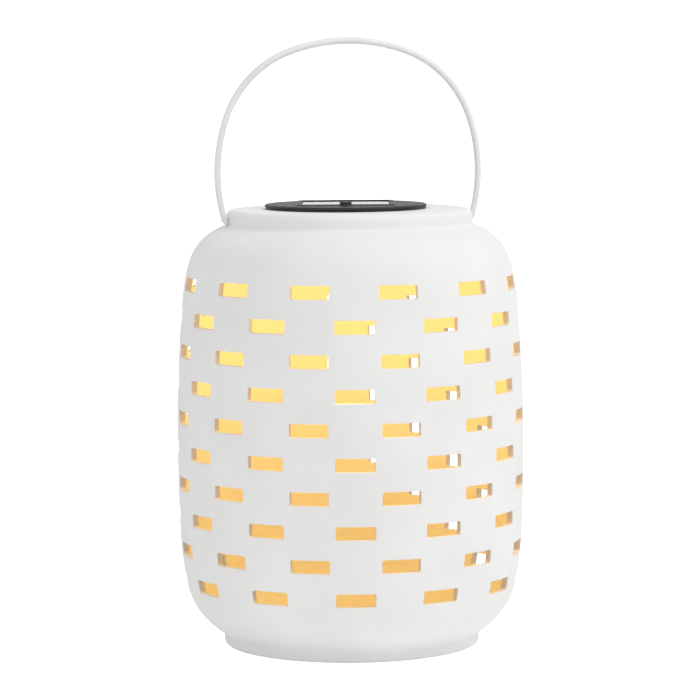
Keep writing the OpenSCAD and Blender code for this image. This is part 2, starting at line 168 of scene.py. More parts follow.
def mix_colour(nt, fac, a, b, mode="MIX"):
    m = nt.nodes.new("ShaderNodeMix")
    m.data_type = "RGBA"
    m.blend_type = mode
    for sock, value in ((m.inputs[0], fac), (m.inputs[6], a), (m.inputs[7], b)):
        if hasattr(value, "is_linked"):
            nt.links.new(value, sock)
        else:
            sock.default_value = value
    return m.outputs[2]


def add_bump(nt, bsdf, height, strength, dist, normal=None):
    b = nt.nodes.new("ShaderNodeBump")
    b.inputs["Strength"].default_value = strength
    b.inputs["Distance"].default_value = dist
    nt.links.new(height, b.inputs["Height"])
    if normal is not None:
        nt.links.new(normal, b.inputs["Normal"])
    nt.links.new(b.outputs[0], bsdf.inputs["Normal"])
    return b.outputs[0]


def shade(colour, factor):
    return tuple(channel * factor for channel in colour)


def ceramic_material():
    """Matt white glaze outside, with a creamy painted warm glow inside and painted brownish shade on the
    sides of each slot.
    """
    # the first tone is a painted warm glow for the inner faces, the second a painted brownish shade for
    # the slot walls
    painted_glow_tone, painted_slot_shade_tone = (0.83, 0.79, 0.64), (0.68, 0.60, 0.52)
    mat, nt, bsdf = new_material("matt_white_glaze")
    vec = coords(nt)
    broad = noise(nt, vec, 28, 4)
    fine = noise(nt, vec, 900, 3)
    pits = noise(nt, vec, 2600, 2)
    base = ramp(nt, broad, [(0.3, (0.800, 0.798, 0.790)), (0.7, (0.845, 0.845, 0.840))])
    speck = ramp(nt, pits, [(0.26, (0.80,)), (0.33, (1.0,))])
    colour = mix_colour(nt, 1.0, base, speck, "MULTIPLY")
    slot_shading = noise(nt, vec, 420, 4, 0.6)
    # painted warm glow: a creamy tone on the inner faces, standing in for the lantern's light
    inside = ramp(nt, broad, [(0.3, painted_glow_tone), (0.7, shade(painted_glow_tone, 1.02))])
    # painted shade: a mottled brownish tone that darkens the slot walls
    slot_shade = ramp(nt, slot_shading, [(0.3, shade(painted_slot_shade_tone, 0.88)), (0.7, painted_slot_shade_tone)])
    # the painted warm glow goes on through the inner mask, the painted shade through the other
    for tone, name in ((inside, "inner"), (slot_shade, "slot_shade")):
        mask = nt.nodes.new("ShaderNodeAttribute")
        mask.attribute_name = name
        colour = mix_colour(nt, mask.outputs["Fac"], colour, tone)
    nt.links.new(colour, bsdf.inputs["Base Color"])
    nt.links.new(spread(nt, fine, 0.50, 0.66), bsdf.inputs["Roughness"])
    bsdf.inputs["IOR"].default_value = 1.45
    bsdf.inputs["Specular IOR Level"].default_value = 0.35
    waves = add_bump(nt, bsdf, broad, 0.25, 0.0012)
    add_bump(nt, bsdf, fine, 0.16, 0.00012, waves)
    return mat


def paint_material():
    """White powder coat with a fine peel."""
    mat, nt, bsdf = new_material("white_powder_coat")
    vec = coords(nt)
    peel = noise(nt, vec, 1500, 2)
    tone = noise(nt, vec, 60, 3)
    base = ramp(nt, tone, [(0.3, (0.735, 0.75, 0.75)), (0.7, (0.79, 0.80, 0.80))])
    nt.links.new(base, bsdf.inputs["Base Color"])
    nt.links.new(spread(nt, peel, 0.30, 0.46), bsdf.inputs["Roughness"])
    bsdf.inputs["Coat Weight"].default_value = 0.15
    bsdf.inputs["Coat Roughness"].default_value = 0.3
    add_bump(nt, bsdf, peel, 0.35, 0.00008)
    return mat


def plastic_material(name, dark, light, rough=(0.38, 0.56), grain=2600, bump=0.3, specular=0.5):
    """Moulded plastic, rubber or lacquer: two close tones, a fine grain and rubbed spots."""
    mat, nt, bsdf = new_material(name)
    vec = coords(nt)
    texture = noise(nt, vec, grain, 3)
    tone = noise(nt, vec, 90, 4)
    scuff = noise(nt, vec, 420, 5, 0.7)
    base = ramp(nt, tone, [(0.32, dark), (0.68, light)])
    rub = ramp(nt, scuff, [(0.56, (1.0,)), (0.72, (1.35,))])
    nt.links.new(mix_colour(nt, 1.0, base, rub, "MULTIPLY"), bsdf.inputs["Base Color"])
    nt.links.new(spread(nt, scuff, rough[1], rough[0]), bsdf.inputs["Roughness"])
    bsdf.inputs["Specular IOR Level"].default_value = specular
    add_bump(nt, bsdf, texture, bump, 0.00006)
    return mat


def metal_material(name, dark, light, rough=(0.22, 0.42)):
    mat, nt, bsdf = new_material(name)
    vec = coords(nt)
    texture = noise(nt, vec, 1800, 4)
    tone = noise(nt, vec, 300, 3)
    nt.links.new(ramp(nt, tone, [(0.3, dark), (0.7, light)]), bsdf.inputs["Base Color"])
    nt.links.new(spread(nt, texture, *rough), bsdf.inputs["Roughness"])
    bsdf.inputs["Metallic"].default_value = 1.0
    add_bump(nt, bsdf, texture, 0.15, 0.00005)
    return mat


def silicon_material():
    """Blue-black crystals of many sizes, as on a cast solar cell."""
    mat, nt, bsdf = new_material("polycrystalline_silicon")
    vec = coords(nt)
    cells = nt.nodes.new("ShaderNodeTexVoronoi")
    cells.inputs["Scale"].default_value = 420
    cells.inputs["Randomness"].default_value = 1.0
    nt.links.new(vec, cells.inputs["Vector"])
    grains = nt.nodes.new("ShaderNodeSeparateColor")
    nt.links.new(cells.outputs["Color"], grains.inputs[0])
    tones = [(0.0, (0.010, 0.016, 0.050)), (0.5, (0.014, 0.028, 0.085)), (1.0, (0.030, 0.050, 0.130))]
    nt.links.new(ramp(nt, grains.outputs[0], tones), bsdf.inputs["Base Color"])
    nt.links.new(spread(nt, grains.outputs[1], 0.18, 0.42, 0, 1), bsdf.inputs["Roughness"])
    bsdf.inputs["Metallic"].default_value = 0.35
    add_bump(nt, bsdf, noise(nt, vec, 2200, 2), 0.1, 0.00004)
    return mat


def resin_material(name, tint, rough):
    mat, nt, bsdf = new_material(name)
    vec = coords(nt)
    wave = noise(nt, vec, 70, 2)
    dust = noise(nt, vec, 1600, 4)
    base = ramp(nt, dust, [(0.35, shade(tint, 0.97)), (0.7, tint)])
    nt.links.new(base, bsdf.inputs["Base Color"])
    nt.links.new(spread(nt, dust, *rough), bsdf.inputs["Roughness"])
    bsdf.inputs["Transmission Weight"].default_value = 1.0
    bsdf.inputs["IOR"].default_value = 1.5
    add_bump(nt, bsdf, wave, 0.12, 0.0004)
    return mat


def board_material():
    """Green solder mask over a faint grid of tracks."""
    mat, nt, bsdf = new_material("green_solder_mask")
    vec = coords(nt)
    brick = nt.nodes.new("ShaderNodeTexBrick")
    brick.inputs["Scale"].default_value = 260
    brick.inputs["Mortar Size"].default_value = 0.03
    brick.inputs["Color1"].default_value = (0.010, 0.120, 0.045, 1)
    brick.inputs["Color2"].default_value = (0.014, 0.150, 0.055, 1)
    brick.inputs["Mortar"].default_value = (0.020, 0.210, 0.080, 1)
    nt.links.new(vec, brick.inputs["Vector"])
    nt.links.new(brick.outputs["Color"], bsdf.inputs["Base Color"])
    nt.links.new(spread(nt, noise(nt, vec, 700, 3), 0.25, 0.42), bsdf.inputs["Roughness"])
    add_bump(nt, bsdf, brick.outputs["Fac"], 0.2, 0.00003)
    return mat


def glow_material():
    """Frosted plastic, lit from within."""
    mat, nt, bsdf = new_material("lit_frosted_dome")
    vec = coords(nt)
    frost = noise(nt, vec, 900, 3)
    base = ramp(nt, frost, [(0.3, (0.48, 0.44, 0.36)), (0.7, (0.52, 0.48, 0.40))])
    glow = ramp(nt, frost, [(0.3, (1.0, 0.60, 0.20)), (0.7, (1.0, 0.66, 0.26))])
    nt.links.new(base, bsdf.inputs["Base Color"])
    nt.links.new(glow, bsdf.inputs["Emission Color"])
    bsdf.inputs["Emission Strength"].default_value = 0.8
    nt.links.new(spread(nt, frost, 0.4, 0.6), bsdf.inputs["Roughness"])
    add_bump(nt, bsdf, frost, 0.2, 0.0001)
    return mat


def grey(level):
    return (level, level, level)


# one material for each of the record's slots
MAT = {
    "ceramic": ceramic_material(),
    "coated_wire": paint_material(),
    "black_plastic": plastic_material("black_moulding", (0.020, 0.021, 0.022), (0.032, 0.033, 0.035),
                                      (0.42, 0.6), specular=0.3),
    "seal_rubber": plastic_material("black_rubber", grey(0.018), grey(0.03), (0.7, 0.9), 1400, 0.2, 0.3),
    "steel": metal_material("zinc_steel", grey(0.50), (0.66, 0.66, 0.65)),
    "green_board": board_material(),
    "silicon": silicon_material(),
    "clear_resin": resin_material("cast_clear_resin", (0.93, 0.96, 0.98), (0.02, 0.06)),
    "smoked_lens": resin_material("smoked_window", (0.16, 0.16, 0.18), (0.05, 0.12)),
    "sensor_ceramic": plastic_material("sensor_lacquer", (0.42, 0.12, 0.05), (0.60, 0.22, 0.09),
                                       (0.2, 0.4), 900, 0.2),
    "chip_resin": plastic_material("chip_mould", grey(0.014), grey(0.024), (0.5, 0.7), 1800, 0.4),
    "coil_coat": plastic_material("coil_lacquer", (0.07, 0.17, 0.05), (0.12, 0.24, 0.08),
                                  (0.2, 0.4), 900, 0.2),
    "lit_led": glow_material(),
    "lit_diffuser": glow_material(),
    "green_wrap": plastic_material("shrink_sleeve", (0.02, 0.17, 0.07), (0.03, 0.24, 0.10),
                                   (0.18, 0.34), 300, 0.15),
    "nickel": metal_material("nickel_plate", (0.55, 0.53, 0.50), (0.68, 0.66, 0.62), (0.12, 0.28)),
    "red_lead": plastic_material("red_insulation", (0.42, 0.012, 0.010), (0.56, 0.02, 0.016),
                                 (0.3, 0.5), 1200, 0.15),
    "black_lead": plastic_material("black_insulation", grey(0.014), grey(0.026), (0.3, 0.5), 1200, 0.15),
    "grey_lead": plastic_material("grey_insulation", grey(0.30), (0.42, 0.42, 0.41),
                                  (0.3, 0.5), 1200, 0.15),
}


# ------------------------------------------------------------------ small helpers
def polar(degrees):
    a = math.radians(degrees)
    return Vector((math.cos(a), math.sin(a)))


def arc(centre, radius, start, end, steps):
    """steps + 1 points of an arc in the outline plane, angles in degrees."""
    points = []
    for k in range(steps + 1):
        a = math.radians(start + (end - start) * k / steps)
        points.append((centre[0] + radius * math.cos(a), centre[1] + radius * math.sin(a)))
    return points


def spaced(points, gap):
    """The first point, and each later one that is more than gap from the last one kept."""
    kept = [points[0]]
    for p in points[1:]:
        if math.dist(p, kept[-1]) > gap:
            kept.append(p)
    return kept


def add_object(name, verts, faces, material, smooth=True):
    mesh = bpy.data.meshes.new(name)
    mesh.from_pydata([tuple(v) for v in verts], [], faces)
    mesh.materials.append(material)
    mesh.update()
    if smooth:
        mesh.polygons.foreach_set("use_smooth", [True] * len(mesh.polygons))
    ob = bpy.data.objects.new(name, mesh)
    scene.collection.objects.link(ob)
    return ob


def fix_normals(ob):
    bm = bmesh.new()
    bm.from_mesh(ob.data)
    bmesh.ops.recalc_face_normals(bm, faces=bm.faces)
    bm.to_mesh(ob.data)
    bm.free()


def sharpen(ob, angle):
    """Smooth shading that keeps the edges that are sharper than the angle."""
    mesh = ob.data
    mesh.polygons.foreach_set("use_smooth", [True] * len(mesh.polygons))
    bm = bmesh.new()
    bm.from_mesh(mesh)
    for edge in bm.edges:
        if len(edge.link_faces) == 2:
            edge.smooth = edge.calc_face_angle(0) < math.radians(angle)
    bm.to_mesh(mesh)
    bm.free()


def place_in_light(ob):
    """Moves a piece drawn round the light's own axis, heights from the jar's top, to its place."""
    up = Matrix.Translation((0, 0, JAR_H * MM))
    turn = Matrix.Rotation(LID_TURN, 4, "Z")
    shift = Matrix.Translation((-LID_SHIFT * MM, 0, 0))
    ob.data.transform(up @ turn @ shift)
    ob.data.update()


def finish_piece(ob, body, slot, *replaced):
    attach(ob, body)
    if replaced:
        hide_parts(*replaced)


def lathe(name, profile, material, steps):
    """Turns an open outline of (radius, height) in mm round Z. A point on the axis becomes one vertex."""
    verts, rings = [], []
    for r, z in profile:
        first = len(verts)
        if r == 0:
            verts.append((0, 0, z * MM))
        else:
            for k in range(steps):
                a = 2 * math.pi * k / steps
                verts.append((r * math.cos(a) * MM, r * math.sin(a) * MM, z * MM))
        rings.append(range(first, len(verts)))
    faces = []
    for a, b in zip(rings, rings[1:]):
        for k in range(steps):
            n = (k + 1) % steps
            if len(a) == 1:
                faces.append((a[0], b[k], b[n]))
            elif len(b) == 1:
                faces.append((a[k], a[n], b[0]))
            else:
                faces.append((a[k], a[n], b[n], b[k]))
    ob = add_object(name, verts, faces, material)
    fix_normals(ob)
    return ob


# ------------------------------------------------------------------ jar outline
def chain(arcs, inwards, side):
    """Points of a chain of tangent arcs from the widest point, moved inwards, and the angle turned."""
    segment = 1.2        # mm between points
    points, centre, turned = [], Vector((BELLY_R - arcs[0][0], 0.0)), 0.0
    for i, (radius, angle) in enumerate(arcs):
        if i:
            centre = centre + (arcs[i - 1][0] - radius) * polar(turned)
        n = max(6, int(radius * math.radians(angle) / segment))
        for k in range(n + 1):
            p = centre + (radius - inwards) * polar(turned + angle * k / n)
            points.append((p.x, BELLY_Z + side * p.y))
        turned += angle
    return points, turned


def whole_outline(inwards):
    up, _ = chain(UP_ARCS, inwards, 1)
    down, _ = chain(DOWN_ARCS, inwards, -1)
    return sorted(down + up, key=lambda p: p[1])


def radius_at(outline, z):
    for (r0, z0), (r1, z1) in zip(outline, outline[1:]):
        if z0 <= z <= z1 and z1 > z0:
            return r0 + (r1 - r0) * (z - z0) / (z1 - z0)
    return outline[0][0] if z < outline[0][1] else outline[-1][0]


OUTER, INNER = whole_outline(0), whole_outline(WALL)
UP_POINTS, SHOULDER_SLOPE = chain(UP_ARCS, 0, 1)
SHOULDER_END = UP_POINTS[-1]
COLLAR_R = (SHOULDER_END[0] - NECK_R) / (1 - math.cos(math.radians(SHOULDER_SLOPE)))
COLLAR_Z = SHOULDER_END[1] + COLLAR_R * math.sin(math.radians(SHOULDER_SLOPE))


def belt_rings():
    """Heights of the rings in the slotted belt, from the top down, each as (height, row, offset)."""
    half = SLOT_H / 2
    offsets = (half + SOFT, half, half - CORNER, 0, -half + CORNER, -half, -half - SOFT)
    belt = []
    for row in range(ROWS):
        middle = SLOT_TOP - PITCH * row
        belt += [(middle + dz, row, dz) for dz in offsets]
        if row < ROWS - 1:
            belt.append((middle - PITCH / 2, None, None))
    return belt


BELT = belt_rings()
BELT_GAP = 1.5           # least distance in height from the belt to the next ring
BELT_TOP, BELT_BOTTOM = BELT[0][0] + BELT_GAP, BELT[-1][0] - BELT_GAP
# the rings of the flat top, and of the floor and the foot's recess, between their edges and the middle
TOP_RADII = (41.5, 47.0, 52.5)
BASE_RADII = (44, 30, 15)


def in_belt(outline):
    return [(radius_at(outline, z), z, (row, dz)) for z, row, dz in BELT]


def plain(points):
    return [(r, z, None) for r, z in points]


def outside_rings():
    """(radius, height, belt entry) from the mouth outwards, down the outside and under the foot."""
    flat = [(r, JAR_H) for r in (MOUTH_R + 0.5, MOUTH_R + 1.5) + TOP_RADII]
    edge = arc((NECK_R - NECK_EDGE, JAR_H - NECK_EDGE), NECK_EDGE, 90, 0, 4)[:-1]
    neck = [(NECK_R, JAR_H - NECK_EDGE)]
    collar = arc((NECK_R + COLLAR_R, COLLAR_Z), COLLAR_R, 180, 180 + SHOULDER_SLOPE, 3)[:-1]
    shoulder = spaced([p for p in OUTER if p[1] > BELT_TOP], 2.2)
    if math.dist(shoulder[-1], SHOULDER_END) < 0.9:
        shoulder.pop()
    shoulder.append(SHOULDER_END)
    rings = plain(flat + edge + neck + collar + shoulder[::-1]) + in_belt(OUTER)

    low = [p for p in reversed(OUTER) if p[1] < BELT_BOTTOM]
    valley = low[-1]
    base = spaced(low, 2.6)
    if math.dist(base[-1], valley) > 0.5:
        base.append(valley)
    foot = [(FOOT_R + 0.1, valley[1] - 0.8), (FOOT_R, valley[1] - 2.0)]
    foot += arc((FOOT_R - FOOT_EDGE, FOOT_EDGE), FOOT_EDGE, 0, -90, 4)
    foot += [(FOOT_IN + 3, 0), (FOOT_IN + 0.9, 0), (FOOT_IN + 0.2, 0.5), (FOOT_IN, 1.4)]
    recess = [(FOOT_IN, FOOT_RECESS - 0.8), (FOOT_IN - 0.8, FOOT_RECESS)]
    recess += [(r, FOOT_RECESS) for r in BASE_RADII]
    return rings + plain(base + foot + recess)


def inside_rings():
    """The same from the mouth down the inside to the floor."""
    ceiling = JAR_H - TOP_T
    mouth = [(MOUTH_R, JAR_H - 0.5), (MOUTH_R, JAR_H - 1.5), (MOUTH_R, ceiling + 0.5),
             (MOUTH_R + 0.5, ceiling)]
    under = [(r, ceiling) for r in (MOUTH_R + 2.0,) + TOP_RADII + (NECK_R - WALL - 1.2,)]
    neck = [(NECK_R - WALL, ceiling - 1.2), (NECK_R - WALL, COLLAR_Z - 1.2)]
    shoulder = spaced([p for p in INNER if p[1] > BELT_TOP and p[0] > NECK_R - WALL + 1.2], 2.4)
    rings = plain(mouth + under + neck + shoulder[::-1]) + in_belt(INNER)
    base = spaced([p for p in reversed(INNER) if FLOOR_Z + 2.0 < p[1] < BELT_BOTTOM], 2.8)
    end = base[-1][0]
    floor = [(end - 1.2, FLOOR_Z + 0.5), (end - 3.2, FLOOR_Z)] + [(r, FLOOR_Z) for r in BASE_RADII]
    return rings + plain(base + floor)


# ------------------------------------------------------------------ jar mesh
def line_angles(r):
    """Degrees from a slot's middle to each mesh line of half a step, at radius r."""
    least_r = 75.2       # above and below the belt the lines run straight towards the axis
    rr = max(r, least_r)
    edge = math.degrees(math.asin(SLOT_W / 2 / rr))
    soft = min(math.degrees(SOFT / rr), (HALF_STEP - 2 * edge) * 0.36)
    corner = math.degrees(CORNER / rr)
    side = [0, edge * 0.33, edge * 0.67, edge - corner, edge, edge + soft]
    return side + [HALF_STEP - a for a in reversed(side[1:])]


def is_in_slot(row, line):
    """Is the cell from this line to the next inside a slot of the row?"""
    block, place = divmod(line, PER_HALF)
    if (block + row) % 2 == 0:
        return place < EDGE_LINE
    return place >= PER_HALF - EDGE_LINE


def on_slot(entry):
    """The row, if this ring runs along or through its slots."""
    if entry is None or entry[0] is None or abs(entry[1]) > SLOT_H / 2 + 1e-6:
        return None
    return entry[0]


def build_jar():
    count = PER_HALF * HALF_STEPS
    outside, inside = outside_rings(), inside_rings()
    # per vertex masks: one for the painted warm glow inside, one for the painted shade on the slot walls
    verts, faces, inner, slot_shade = [], [], [], []

    def add_vert(co, depth, slot_shading=0.0):
        verts.append(co)
        inner.append(depth)
        slot_shade.append(slot_shading)
        return len(verts) - 1

    def add_face(face, flip):
        faces.append(tuple(reversed(face)) if flip else face)

    def ring(r, z, depth):
        """Where the lines are far apart the radius is let out, so that smoothing keeps the size."""
        marks = line_angles(r)
        turns = [math.radians(SLOT_TURN + block * HALF_STEP + a)
                 for block in range(HALF_STEPS) for a in marks]
        ids = []
        for j, t in enumerate(turns):
            before = (t - turns[j - 1]) % (2 * math.pi)
            after = (turns[(j + 1) % count] - t) % (2 * math.pi)
            rr = (r - SKIN_BACK) * (1 + 0.125 * ((1 - math.cos(before)) + (1 - math.cos(after))))
            ids.append(add_vert((rr * math.sin(t) * MM, -rr * math.cos(t) * MM, z * MM), depth))
        return ids

    def skin(rings, info, flip):
        for i in range(len(rings) - 1):
            row = on_slot(info[i][2])
            pierced = row is not None and row == on_slot(info[i + 1][2])
            for j in range(count):
                if pierced and is_in_slot(row, j):
                    continue
                n = (j + 1) % count
                add_face((rings[i][j], rings[i + 1][j], rings[i + 1][n], rings[i][n]), flip)

    def slot_walls(row, middle, out_rows, in_rows):
        """The four walls of one slot, four faces deep. The painted shade goes on least on the lower wall.
        """
        cols = [(middle + d) % count for d in range(-EDGE_LINE, EDGE_LINE + 1)]
        last = len(out_rows) - 1
        loop = [(0, c) for c in cols] + [(m, cols[-1]) for m in range(1, last + 1)]
        loop += [(last, c) for c in reversed(cols[:-1])] + [(m, cols[0]) for m in range(last - 1, 0, -1)]
        outer_ids = [out_rings[out_rows[m]][c] for m, c in loop]
        inner_ids = [in_rings[in_rows[m]][c] for m, c in loop]
        levels = [outer_ids]
        for t in (SOFT / WALL, 0.5, 1 - SOFT / WALL):
            ids = []
            for (m, _), a, b in zip(loop, outer_ids, inner_ids):
                co = tuple(Vector(verts[a]).lerp(Vector(verts[b]), t))
                # the depth t sets the painted warm glow; the painted shade goes on fully, but only a
                # little on the lower wall
                ids.append(add_vert(co, t, SILL_SHADE if m == last else 1.0))
            levels.append(ids)
        levels.append(inner_ids)
        for a, b in zip(levels, levels[1:]):
            for q in range(len(loop)):
                w = (q + 1) % len(loop)
                faces.append((a[w], a[q], b[q], b[w]))

    out_rings = [ring(r, z, 0.0) for r, z, _ in outside]
    in_rings = [ring(r, z, 1.0) for r, z, _ in inside]
    skin(out_rings, outside, False)
    skin(in_rings, inside, True)

    # join the outside to the inside at the mouth, and close the foot's recess and the floor
    for j in range(count):
        n = (j + 1) % count
        faces.append((out_rings[0][n], out_rings[0][j], in_rings[0][j], in_rings[0][n]))
    for rings, z, flip in ((out_rings, FOOT_RECESS, False), (in_rings, FLOOR_Z, True)):
        middle = add_vert((0, 0, z * MM), 1.0 if flip else 0.0)
        for j in range(count):
            add_face((rings[-1][j], middle, rings[-1][(j + 1) % count]), flip)

    for row in range(ROWS):
        out_rows = [i for i, e in enumerate(outside) if on_slot(e[2]) == row]
        in_rows = [i for i, e in enumerate(inside) if on_slot(e[2]) == row]
        for s in range(PER_ROW):
            slot_walls(row, (2 * s + row % 2) * PER_HALF, out_rows, in_rows)

    ob = add_object("pierced_jar", verts, faces, MAT["ceramic"])
    for name, values in (("inner", inner), ("slot_shade", slot_shade)):
        ob.data.attributes.new(name, "FLOAT", "POINT").data.foreach_set("value", values)
    fix_normals(ob)
    for side in (1, -1):
        cut_eye(ob, side)
    smooth = ob.modifiers.new("soft", "SUBSURF")
    smooth.levels = 1
    smooth.render_levels = 1
    finish_piece(ob, "jar", "ceramic", "ceramic_jar")


def near_eye(face, side, outside):
    """Is this face on the neck's outer or inner wall, close to the hole for the bail?"""
    c = face.calc_center_median()
    if c.x * side < 50 * MM or abs(c.z - EYE_Z * MM) > 9 * MM or abs(c.y) > 12 * MM:
        return False
    if abs(face.normal.z) > 0.8 and c.z > (JAR_H - 1) * MM:
        return False
    r = math.hypot(c.x, c.y)
    return r > (NECK_R - 0.6) * MM if outside else r < (NECK_R - WALL + 0.6) * MM


def reach(values):
    """How far from 0 the span of the values begins."""
    low, high = min(values), max(values)
    return 0 if low < 0 < high else min(abs(low), abs(high))


def cut_eye(ob, side):
    """Bores the neck for the bail, with a soft edge once it is smoothed."""
    margin = 0.35        # the faces that come this close to the hole are made anew
    steps = 20
    bm = bmesh.new()
    bm.from_mesh(ob.data)
    circles = []
    for outside in (True, False):
        doomed = []
        for face in bm.faces:
            if not near_eye(face, side, outside):
                continue
            dy = reach([v.co.y for v in face.verts])
            dz = reach([v.co.z - EYE_Z * MM for v in face.verts])
            if math.hypot(dy, dz) < (EYE_R + margin) * MM:
                doomed.append(face)
        bmesh.ops.delete(bm, geom=doomed, context="FACES")
        rough_edges = [e for e in bm.edges if e.is_boundary]
        wall_r = NECK_R if outside else NECK_R - WALL
        circle = []
        for k in range(steps):
            a = 2 * math.pi * k / steps
            y, z = math.cos(a) * (EYE_R + 0.12), math.sin(a) * (EYE_R + 0.12)
            x = side * math.sqrt(wall_r ** 2 - y * y)
            circle.append(bm.verts.new((x * MM, y * MM, (EYE_Z + z) * MM)))
        circle_edges = [bm.edges.new((circle[k], circle[(k + 1) % steps])) for k in range(steps)]
        bmesh.ops.triangle_fill(bm, edges=rough_edges + circle_edges, use_beauty=True)
        circles.append(circle)
        bm.normal_update()

    # the bore itself, a hair narrower between its two mouths
    mouth, end = circles
    bore = [[bm.verts.new(p.co.lerp(q.co, t)) for p, q in zip(mouth, end)] for t in (0.12, 0.5, 0.88)]
    for ring in bore:
        for v in ring:
            arm = Vector((0, v.co.y, v.co.z - EYE_Z * MM))
            arm.length = EYE_R * MM
            v.co.y, v.co.z = arm.y, arm.z + EYE_Z * MM
    levels = [mouth] + bore + [end]
    for p, q in zip(levels, levels[1:]):
        for k in range(steps):
            w = (k + 1) % steps
            bm.faces.new((p[k], p[w], q[w], q[k]))
    bmesh.ops.recalc_face_normals(bm, faces=bm.faces)
    for face in bm.faces:
        face.smooth = True
    bm.to_mesh(ob.data)
    bm.free()


# ------------------------------------------------------------------ bail
def bail_path():
    """Centre line of the bent wire in its own plane, from one hook's tip to the other's, in mm."""
    hook_c = Vector((HOOK_X, PIVOT_Z - BEND_R))
    bend_c = Vector((PIN_X, PIVOT_Z + BEND_R))
    side_c = bend_c + (BEND_R - SIDE_R) * polar(-LEAN)
    side_a = 90 - CROWN_A - SHOULDER_A
    shoulder_c = side_c + (SIDE_R - SHOULDER_R) * polar(side_a)
    crown_start = shoulder_c + SHOULDER_R * polar(90 - CROWN_A)
    crown_r = crown_start.x / math.sin(math.radians(CROWN_A))
    crown_c = Vector((0, crown_start.y - crown_r * math.cos(math.radians(CROWN_A))))
    tip = hook_c - Vector((BEND_R, HOOK_L))
    half = [tip, Vector((tip.x, hook_c.y - 2))]
    half += [Vector(p) for p in arc(hook_c, BEND_R, 180, 90, 8)]
    half += [Vector((HOOK_X + 2.5, PIVOT_Z)), Vector((PIN_X, PIVOT_Z))]
    half += [Vector(p) for p in arc(bend_c, BEND_R, -90, -LEAN, 8)][1:]
    half += [Vector(p) for p in arc(side_c, SIDE_R, -LEAN, side_a, 26)][1:]
    half += [Vector(p) for p in arc(shoulder_c, SHOULDER_R, side_a, 90 - CROWN_A, 26)][1:]
    half += [Vector(p) for p in arc(crown_c, crown_r, 90 - CROWN_A, 90, 14)][1:]
    return half + [Vector((-p.x, p.y)) for p in reversed(half[:-1])]


def build_bail():
    path = bail_path()
    sides = 20
    # the rounded cut ends, as (mm out, share of the radius)
    end_rings = ((0.25, 0.93), (0.42, 0.75), (0.5, 0.45))
    verts, faces = [], []

    def bridge(a, b):
        for k in range(sides):
            w = (k + 1) % sides
            faces.append((a[k], a[w], b[w], b[k]))

    rings = []
    for i, p in enumerate(path):
        ahead = (path[min(i + 1, len(path) - 1)] - path[max(i - 1, 0)]).normalized()
        across = Vector((-ahead.y, ahead.x))
        first = len(verts)
        for k in range(sides):
            a = 2 * math.pi * k / sides
            o = across * (math.cos(a) * WIRE_R)
            verts.append(((p.x + o.x) * MM, math.sin(a) * WIRE_R * MM, (p.y + o.y) * MM))
        rings.append(range(first, len(verts)))
    for a, b in zip(rings, rings[1:]):
        bridge(a, b)

    for ring, tip, next_in in ((rings[0], path[0], path[1]), (rings[-1], path[-1], path[-2])):
        outwards = (tip - next_in).normalized()
        centre = Vector((tip.x, 0, tip.y)) * MM
        last = ring
        for lift, share in end_rings:
            first = len(verts)
            for i in ring:
                arm = (Vector(verts[i]) - centre) * share
                verts.append(tuple(centre + arm + Vector((outwards.x, 0, outwards.y)) * (lift * MM)))
            new = range(first, len(verts))
            bridge(last, new)
            last = new
        faces.append(tuple(last))
    ob = add_object("wire_handle", verts, faces, MAT["coated_wire"])
    fix_normals(ob)
    finish_piece(ob, "bail", "coated_wire", "wire_bail")


# ------------------------------------------------------------------ light: the parts that show
def rounded_square(half, corner, steps):
    """Points round a square with rounded corners, anticlockwise."""
    points = []
    for quarter, (sx, sy) in enumerate(((1, 1), (-1, 1), (-1, -1), (1, -1))):
        centre = (sx * (half - corner), sy * (half - corner))
        points += arc(centre, corner, 90 * quarter, 90 * quarter + 90, steps)
    return points


def build_lid_disc():
    top_r, low_r = 0.7, 0.3          # rounding of the rim's upper and lower edge
    outline = [(0, COVER_HI - 0.15), (20, COVER_HI - 0.15), (30, COVER_HI - 0.05), (36.5, COVER_HI)]
    outline += arc((RIM_R - 0.75, COVER_HI - top_r), top_r, 90, 0, 6)
    outline += [(RIM_R, COVER_LO + 0.35)]
    outline += arc((RIM_R - 0.35, COVER_LO + low_r), low_r, 0, -90, 4)
    outline += [(36.8, COVER_LO), (SPIGOT_R, COVER_LO), (SPIGOT_R, SPIGOT_LO + 0.1),
                (SPIGOT_R - 0.2, SPIGOT_LO), (SPIGOT_IN, SPIGOT_LO), (SPIGOT_IN, COVER_LO), (0, COVER_LO)]
    ob = lathe("lid_disc", outline, MAT["black_plastic"], 160)
    sharpen(ob, 40)
    place_in_light(ob)
    finish_piece(ob, "light", "black_plastic", "lid_cover")


def build_panel_frame():
    """Rings of a rounded square, from the foot of the frame's outer slope in to the panel's seat."""
    out, seat = BEZEL_W / 2, PANEL_W / 2 + 0.3
    sections = [(out + 2.6, 1.6, COVER_HI - 0.1), (out + 2.0, 1.5, COVER_HI + 0.02),
                (out + 1.7, 1.4, COVER_HI + 0.14), (out + 0.35, 1.0, BEZEL_HI - 0.16),
                (out + 0.12, 0.9, BEZEL_HI - 0.04), (out - 0.2, 0.8, BEZEL_HI),
                (seat + 0.32, 0.5, BEZEL_HI), (seat + 0.08, 0.35, BEZEL_HI - 0.06),
                (seat, 0.3, BEZEL_HI - 0.25), (seat, 0.3, PANEL_LO)]
    verts, faces, rings = [], [], []
    for half, corner, z in sections:
        first = len(verts)
        verts += [(x * MM, y * MM, z * MM) for x, y in rounded_square(half, corner, 6)]
        rings.append(range(first, len(verts)))
    for a, b in zip(rings, rings[1:]):
        for k in range(len(a)):
            w = (k + 1) % len(a)
            faces.append((a[k], a[w], b[w], b[k]))
    faces.append(tuple(reversed(rings[-1])))
    ob = add_object("panel_frame", verts, faces, MAT["black_plastic"])
    sharpen(ob, 30)
    place_in_light(ob)
    finish_piece(ob, "light", "black_plastic")


